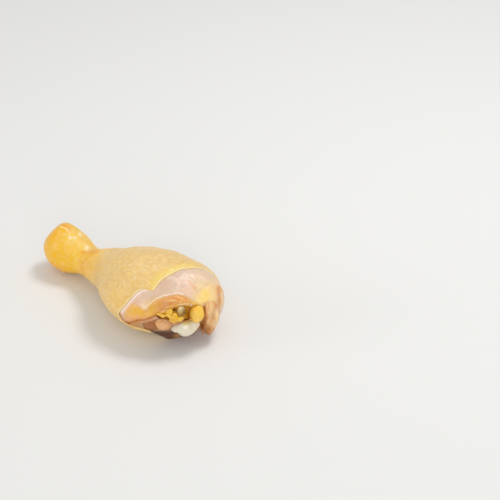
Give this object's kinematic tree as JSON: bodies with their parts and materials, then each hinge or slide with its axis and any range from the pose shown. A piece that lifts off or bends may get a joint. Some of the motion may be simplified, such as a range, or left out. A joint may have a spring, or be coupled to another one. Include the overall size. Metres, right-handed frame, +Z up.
{
  "type": "raw chicken drumstick",
  "caption": "Raw chicken leg portion from hock to knee, skin on, with bare meat, fat and white cartilage at the cut knee end.",
  "frame": {"origin": "centre of the bounding box on the surface the drumstick rests on", "axes": "+X from the hock to the cut knee end, +Z up, +Y across to complete a right-handed frame"},
  "size_m": [0.1482, 0.0631, 0.0494],
  "materials": {
    "skin": "raw poultry skin, pale beige yellow, deeper yellow on the knob, moist satin",
    "meat": "raw chicken muscle under a thin clear membrane, wet satin",
    "cartilage": "wet white cartilage",
    "fat": "wet yellow fat",
    "tendon": "wet grey white tendon"
  },
  "bodies": {
    "root": {"skin": "skin", "meat": "meat", "knee_cartilage": "cartilage", "large_fat": "fat", "small_fat": "fat", "tendon": "tendon", "hock_cartilage": "cartilage"}
  },
  "joints": []
}
